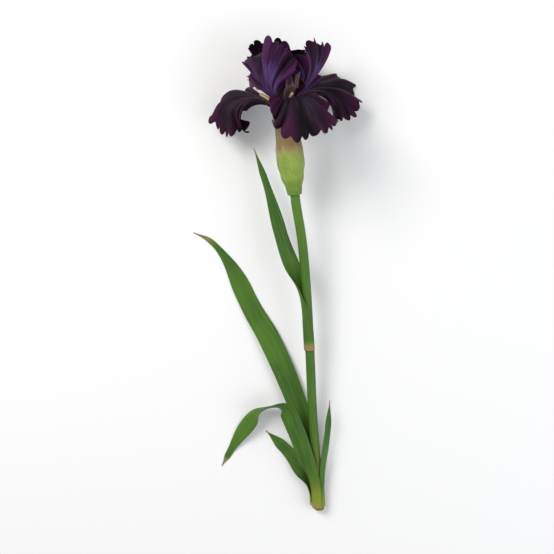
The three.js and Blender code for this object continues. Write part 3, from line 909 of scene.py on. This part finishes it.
def petal_material(name, deep, painted_sheen, margin, crest_rise_and_highlight, haft_upper, haft_under, haft_to, sheen, tint):
    """Velvety petal skin: a deep middle, patches of painted sheen highlight, a wine margin, painted shade in
    the fold valleys, painted highlight on the fold crests and a bronze haft.
    """
    material, tree, shader = new_material(name)
    across, along = surface_place(tree)
    skin = node_in(tree, "ShaderNodeGroup", {"Across": across, "Along": along}, node_tree=petal_group)
    fade_in, fade_out = ramp_value(tree, along, 0.2, 0.42), ramp_value(tree, along, 0.92, 0.55)
    low_half = maths(tree, "MULTIPLY", fade_in, fade_out)
    # Painted sheen highlight: streaks low on the middle of the petal are lightened.
    painted_sheen_mask = maths(tree, "MULTIPLY", ramp_value(tree, skin.outputs["Streaks"], 0.4, 0.66), low_half)
    base = mix_colors(tree, painted_sheen_mask, deep, painted_sheen)
    base = mix_colors(tree, ramp_value(tree, object_noise(tree, 60, 3), 0.5, 0.75, 0, 0.5), base, margin)
    base = mix_colors(tree, maths(tree, "MULTIPLY", skin.outputs["Margin"], 0.75), base, margin)
    vein_color = tuple(0.45 * part for part in deep)
    base = mix_colors(tree, maths(tree, "MULTIPLY", skin.outputs["Veins"], 0.45), base, vein_color)
    # Painted shade and highlight: fold valleys are darkened towards black, fold crests lightened to magenta.
    raised = attribute(tree, "raised")
    painted_valley_shade = tuple(0.3 * part for part in deep)
    base = mix_colors(tree, ramp_value(tree, raised, 0.48, 0.2, 0, 0.85), base, painted_valley_shade)
    base = mix_colors(tree, ramp_value(tree, raised, 0.55, 0.85, 0, 0.7), base, crest_rise_and_highlight)
    under = maths(tree, "SUBTRACT", 1.0, attribute(tree, "upper_side"))
    haft = mix_colors(tree, under, haft_upper, haft_under)
    haft = mix_colors(tree, maths(tree, "MULTIPLY", skin.outputs["Veins"], 0.7), haft, deep)
    from_haft = maths(tree, "SUBTRACT", along, 0.08)
    ragged = maths(tree, "MULTIPLY_ADD", object_noise(tree, 130, 3), 0.16, from_haft)
    base = mix_colors(tree, ramp_value(tree, ragged, haft_to, haft_to - 0.2), base, haft)
    tree.links.new(base, shader.inputs["Base Color"])
    rough = ramp_value(tree, skin.outputs["Grain"], 0.2, 0.8, 0.5, 0.68)
    tree.links.new(rough, shader.inputs["Roughness"])
    shader.inputs["Specular IOR Level"].default_value = 0.12
    shader.inputs["Sheen Weight"].default_value = sheen
    shader.inputs["Sheen Roughness"].default_value = 0.35
    shader.inputs["Sheen Tint"].default_value = (*tint, 1)
    height = maths(tree, "MULTIPLY_ADD", skin.outputs["Veins"], -0.6, skin.outputs["Grain"])
    bump_into(tree, shader, height, 0.45, 0.0003)
    return material


# Its lighter streak colour is a painted slate sheen highlight.
fall_material = petal_material(
    "fall_velvet",
    deep=(0.006, 0.0025, 0.0055),
    painted_sheen=(0.022, 0.011, 0.025),
    margin=(0.03, 0.003, 0.022),
    crest_rise_and_highlight=(0.04, 0.005, 0.03),
    haft_upper=(0.09, 0.045, 0.03),
    haft_under=(0.22, 0.19, 0.07),
    haft_to=0.34,
    sheen=0.035,
    tint=(0.6, 0.4, 0.7),
)


def petal(name, azimuth, shape, material):
    """A narrow haft that fans out into a broad ruffled blade. Its veins run from foot to margin."""
    rows, columns = PETAL_GRID
    u = (np.linspace(0, 1, rows)[:, None] * np.ones(columns)) ** 0.85
    v = np.linspace(-1, 1, columns)[None, :] * np.ones((rows, 1))
    turn = v * math.radians(shape["spread"])
    margin = u ** (1.6 - 0.7 * np.abs(v) ** 3)
    random = np.random.default_rng(shape["seed"])
    lobe = MARGIN_LOBES * turn + 1.3 * np.sin(2.6 * turn + random.uniform(0, 6.3)) + random.uniform(0, 6.3)
    swell = 0.8 + 0.35 * np.sin(4.7 * turn + random.uniform(0, 6.3))
    turn = turn - 0.016 * swell * margin**4 * np.sin(2 * lobe)
    taper = 1 - shape["taper"] * (1 - np.cos(turn)) / 2
    rim_side = shape["half_width"] * np.sin(turn) * taper
    rim_along = shape["blade_middle"] + (shape["length"] - shape["blade_middle"]) * np.cos(turn)
    notches = 0.07 * (1 - np.sqrt(np.sin(lobe) ** 2 + 0.06))
    lobes = 1 - notches - 0.03 * np.sin(5 * turn + random.uniform(0, 6.3))
    rim_side, rim_along = rim_side * lobes, rim_along * lobes
    fan = u ** (2.1 + 0.9 * np.abs(v))
    flat_side = shape["claw"] * v * (1 - fan) + rim_side * fan
    flat_along = rim_along * u
    rib = path_through(shape["rib"])
    rib_point, rib_slope = on_path(rib, flat_along)
    bend = shape["dome"] * ease(flat_along, 0.15 * shape["length"], 0.6 * shape["length"]) + 1e-4
    side = np.sin(flat_side * bend) / bend
    droop = (1 - np.cos(flat_side * bend)) / bend
    folds = sum(
        weight * np.sin(k * turn + random.uniform(0, 6.3) + shape["phase"])
        for k, weight in ((shape["waves"], 1.0), (1.9 * shape["waves"], 0.8))
    )
    crimp = swell * np.sin(lobe + 0.8 * u) + 0.15 * np.sin(27 * turn + random.uniform(0, 6.3))
    swing = sum(weight * np.sin(k * turn + random.uniform(0, 6.3)) for k, weight in ((2.3, 1.0), (9, 0.6)))
    lift = shape["ruffle"] * margin**2 * folds + shape["crimp"] * margin**4 * crimp
    lean = flat_side * bend
    side = side + lift * np.sin(lean)
    off = lift * np.cos(lean) - droop - shape["tilt"] * flat_side
    roll = math.radians(shape["roll"]) * ease(flat_along, 0.25 * shape["length"], 0.8 * shape["length"])
    side, off = side * np.cos(roll) - off * np.sin(roll), side * np.sin(roll) + off * np.cos(roll)
    sway = 0.2 * shape["ruffle"] * margin**3 * swing
    out = rib_point[..., 0] - rib_slope[..., 1] * off + rib_slope[..., 0] * sway
    along = rib_point[..., 1] + rib_slope[..., 0] * off + rib_slope[..., 1] * sway
    turned = azimuth + shape["twist"] * ease(flat_along, 0.35 * shape["length"], 0.75 * shape["length"])
    points = in_bloom(turned, out, side, along)
    points = pressed(points, PETAL_THICKNESS, PETAL_SOFTNESS)
    thickness = PETAL_THICKNESS * (1.25 - 0.6 * u) * rounded_edge(v, 0.012) * rounded_edge(u * 2 - 1, 0.02)
    piece = closed_sheet(f"{name}_petal", points, thickness * MM, material)
    # Fold height for the skin's painted shade in the valleys and painted highlight on the crests.
    height = np.clip(0.5 + lift / FOLD_DEPTH, 0, 1)
    raised = piece.data.attributes.new("raised", "FLOAT", "POINT")
    raised.data.foreach_set("value", np.r_[height.ravel(), 1 - height[1:-1, 1:-1].ravel()].astype(np.float32))
    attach(piece, "root")
    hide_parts(name)


def fall(side, reach, hang, roll, twist, phase, seed):
    shape = {
        "rib": [
            (4.9, -10),
            (9, -4.5),
            (16, 0.5),
            (26, 3.5),
            (38, 3 - 0.2 * hang),
            (48 + 4 * reach, -3 - 0.6 * hang),
            (51 + 10 * reach, -12 - hang),
        ],
        "length": 68,
        "blade_middle": 43,
        "half_width": 31,
        "taper": 0.3,
        "spread": 140,
        "twist": twist,
        "roll": roll,
        "tilt": 0,
        "claw": 3.9,
        "dome": 0.04,
        "ruffle": 3.2,
        "crimp": 2.0,
        "waves": 4.2,
        "phase": phase,
        "seed": seed,
    }
    petal(f"fall_{side}", FALL_AZIMUTHS[side], shape, fall_material)


fall("front", 0, 16, 0, 0, 0.6, 23)
fall("right", 1.1, -3, 55, -16, 2.4, 29)
fall("left", 0.1, 0, -55, 4, 4.1, 31)

# --------------------------------------------------------------------------------------- standards
# The three inner petals rise from between the falls and cup round the style arms: silkier, dark purple
# with a painted lilac sheen highlight low down, and as ruffled.
STANDARD_AZIMUTHS = {"right": -15, "back": 102, "left": 225}
# Its lighter streak colour is a painted lilac sheen highlight.
standard_material = petal_material(
    "standard_silk",
    deep=(0.026, 0.004, 0.026),
    painted_sheen=(0.085, 0.045, 0.17),
    margin=(0.024, 0.003, 0.022),
    crest_rise_and_highlight=(0.062, 0.009, 0.062),
    haft_upper=(0.12, 0.06, 0.06),
    haft_under=(0.1, 0.06, 0.09),
    haft_to=0.3,
    sheen=0.06,
    tint=(0.62, 0.45, 0.9),
)


def standard(side, reach, twist, width, phase, seed):
    shape = {
        "rib": [
            (3.6, -10),
            (6.6, -2),
            (12.5, 6),
            (18 + reach, 16),
            (21 + 1.5 * reach, 26),
            (20 + 2 * reach, 36),
            (15 + 2.5 * reach, 43),
        ],
        "length": 60,
        "blade_middle": 40,
        "half_width": 33 * width,
        "taper": 0.5,
        "spread": 147,
        "twist": twist,
        "roll": 0,
        "tilt": 0.22,
        "claw": 2.4,
        "dome": -0.03,
        "ruffle": 3.2,
        "crimp": 2.0,
        "waves": 4.6,
        "phase": phase,
        "seed": seed,
    }
    petal(f"standard_{side}", STANDARD_AZIMUTHS[side], shape, standard_material)


standard("left", 1, 13, 1.05, 1.1, 37)
standard("right", 4.5, -5, 0.8, 3.2, 41)
standard("back", 0, 0, 0.95, 5, 43)

# -------------------------------------------------------------------------------------- style arms
# The style parts into three petal-like arms, each arched over a fall's haft like a narrow roof and
# ending in a pair of small upturned crests: pinkish tan, flushed purple along the middle.
style_material, tree, shader = new_material("style_skin")
across, along = surface_place(tree)
skin = node_in(tree, "ShaderNodeGroup", {"Across": across, "Along": along}, node_tree=petal_group)
skin.inputs["Vein Count"].default_value = 12
from_middle = maths(tree, "ABSOLUTE", maths(tree, "MULTIPLY_ADD", across, 2.0, -1.0))
base = mix_colors(tree, ramp_value(tree, from_middle, 0.1, 0.8), (0.05, 0.018, 0.035), (0.26, 0.13, 0.085))
base = mix_colors(tree, ramp_value(tree, along, 0.6, 1.0, 0, 0.7), base, (0.1, 0.035, 0.06))
base = mix_colors(tree, maths(tree, "MULTIPLY", skin.outputs["Veins"], 0.4), base, (0.04, 0.015, 0.025))
tree.links.new(base, shader.inputs["Base Color"])
shader.inputs["Roughness"].default_value = 0.5
shader.inputs["Sheen Weight"].default_value = 0.2
bump_into(tree, shader, skin.outputs["Grain"], 0.3, 0.0003)

STYLE_RIB = [(2.4, -2), (6, 5), (13, 10), (20, 11.5), (29, 10.5)]
STYLE_HALF_WIDTH = [(0, 1.5), (0.35, 3.8), (0.75, 5.6), (1, 5)]
STYLE_LENGTH = 31
STYLE_ROOF = 0.9
CREST_HEIGHT = 8

for side, azimuth in FALL_AZIMUTHS.items():
    u, v = leaf_grid(90, 65)
    random = np.random.default_rng(47 + abs(azimuth))
    rib = path_through(STYLE_RIB)
    point, slope = on_path(rib, u * STYLE_LENGTH)
    radius = profile(STYLE_HALF_WIDTH)(u) / STYLE_ROOF
    crest_rise_and_highlight = CREST_HEIGHT * ease(u, 0.72, 1.0) * ease(np.abs(v), 0.05, 0.4)
    fringe = ease(u, 0.8, 1.0) * sum(0.5 * np.sin(k * v + random.uniform(0, 6.3)) for k in (9, 17))
    off = 3 * ease(u, 0.7, 1) * np.abs(v) + crest_rise_and_highlight - radius * (1 - np.cos(v * STYLE_ROOF)) + fringe
    out = point[..., 0] - slope[..., 1] * off - 0.3 * crest_rise_and_highlight
    sideways = radius * np.sin(v * STYLE_ROOF) * (1 + 0.25 * ease(u, 0.75, 1.0))
    points = in_bloom(azimuth, out, sideways, point[..., 1] + slope[..., 0] * off)
    thickness = 0.6 * rounded_edge(v, 0.05) * rounded_edge(u * 2 - 1, 0.03)
    piece = closed_sheet(f"style_{side}_crested", points, thickness * MM, style_material)
    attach(piece, "root")
    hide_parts(f"style_arm_{side}")

# ------------------------------------------------------------------------------------------ stamens
# A stamen lies under each style arm: a thin pale filament and a long anther dusted with pollen grains.
STAMEN_FOOT = (4.6, -3.8)
STAMEN_TIP = (19.5, 6)
STAMEN_RADII = [(0, 0.5), (0.4, 0.5), (0.5, 1.0), (0.95, 1.0), (1, 0.3)]

stamen_material, tree, shader = new_material("cream_anther")
base = mix_colors(tree, object_noise(tree, 500), (0.62, 0.5, 0.27), (0.42, 0.3, 0.14))
tree.links.new(base, shader.inputs["Base Color"])
shader.inputs["Roughness"].default_value = 0.8
bump_into(tree, shader, object_noise(tree, 2500), 0.5, 0.0003)

tree, tree_in, tree_out = node_tree(
    "pollen_dusting",
    [("Grain", "NodeSocketFloat"), ("Per Area", "NodeSocketFloat"), ("Seed", "NodeSocketInt")],
)
on_anther = node_in(tree, "GeometryNodeInputNamedAttribute", {"Name": "anther"}).outputs["Attribute"]
scatter = node_in(
    tree,
    "GeometryNodeDistributePointsOnFaces",
    {
        "Mesh": tree_in.outputs["Geometry"],
        "Density": tree_in.outputs["Per Area"],
        "Seed": tree_in.outputs["Seed"],
        "Selection": on_anther,
    },
)
ball = node_in(
    tree, "GeometryNodeMeshIcoSphere", {"Radius": tree_in.outputs["Grain"], "Subdivisions": 1}
)
grains = node_in(
    tree, "GeometryNodeInstanceOnPoints", {"Points": scatter.outputs[0], "Instance": ball.outputs[0]}
)
both = node_in(tree, "GeometryNodeJoinGeometry")
tree.links.new(grains.outputs[0], both.inputs[0])
tree.links.new(tree_in.outputs["Geometry"], both.inputs[0])
real = node_in(tree, "GeometryNodeRealizeInstances", {"Geometry": both.outputs[0]})
painted = {"Geometry": real.outputs[0], "Material": stamen_material}
finished = node_in(tree, "GeometryNodeSetMaterial", painted)
tree.links.new(finished.outputs[0], tree_out.inputs[0])

for side, azimuth in FALL_AZIMUTHS.items():
    share = np.linspace(0, 1, 40)[:, None] * np.ones(16)
    turn = np.linspace(0, 2 * math.pi, 16, endpoint=False)[None, :] * np.ones((40, 1))
    radius = profile(STAMEN_RADII)(share)
    radius = radius * (1 + 0.25 * np.abs(np.cos(turn)) * ease(share, 0.4, 0.55))
    climb = unit(np.array(STAMEN_TIP) - np.array(STAMEN_FOOT))
    out = STAMEN_FOOT[0] + share * (STAMEN_TIP[0] - STAMEN_FOOT[0]) - climb[1] * radius * np.cos(turn)
    up = STAMEN_FOOT[1] + share * (STAMEN_TIP[1] - STAMEN_FOOT[1]) + climb[0] * radius * np.cos(turn)
    points = in_bloom(azimuth, out, radius * np.sin(turn), up)
    number = np.arange(40 * 16).reshape(40, 16)
    turned = np.roll(number, -1, axis=1)
    faces = np.stack([number[:-1], turned[:-1], turned[1:], number[1:]], axis=-1).reshape(-1, 4).tolist()
    ends = [number[0, ::-1].tolist(), number[-1].tolist()]
    mesh = bpy.data.meshes.new("stamen_body")
    mesh.from_pydata(points.reshape(-1, 3).tolist(), [], faces + ends)
    anther = mesh.attributes.new("anther", "BOOLEAN", "FACE")
    rows_of_faces = np.repeat(np.arange(39), 16) > 18
    anther.data.foreach_set("value", np.r_[rows_of_faces, False, False])
    mesh.shade_smooth()
    holder = bpy.data.objects.new("stamen_body", mesh)
    bpy.context.scene.collection.objects.link(holder)
    values = {"Grain": 0.09 * MM, "Per Area": 6e6, "Seed": 53 + abs(azimuth)}
    piece = run_tree(holder, tree, values, f"anther_{side}")
    bpy.data.objects.remove(holder)
    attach(piece, "root")
    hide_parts(f"stamen_{side}")
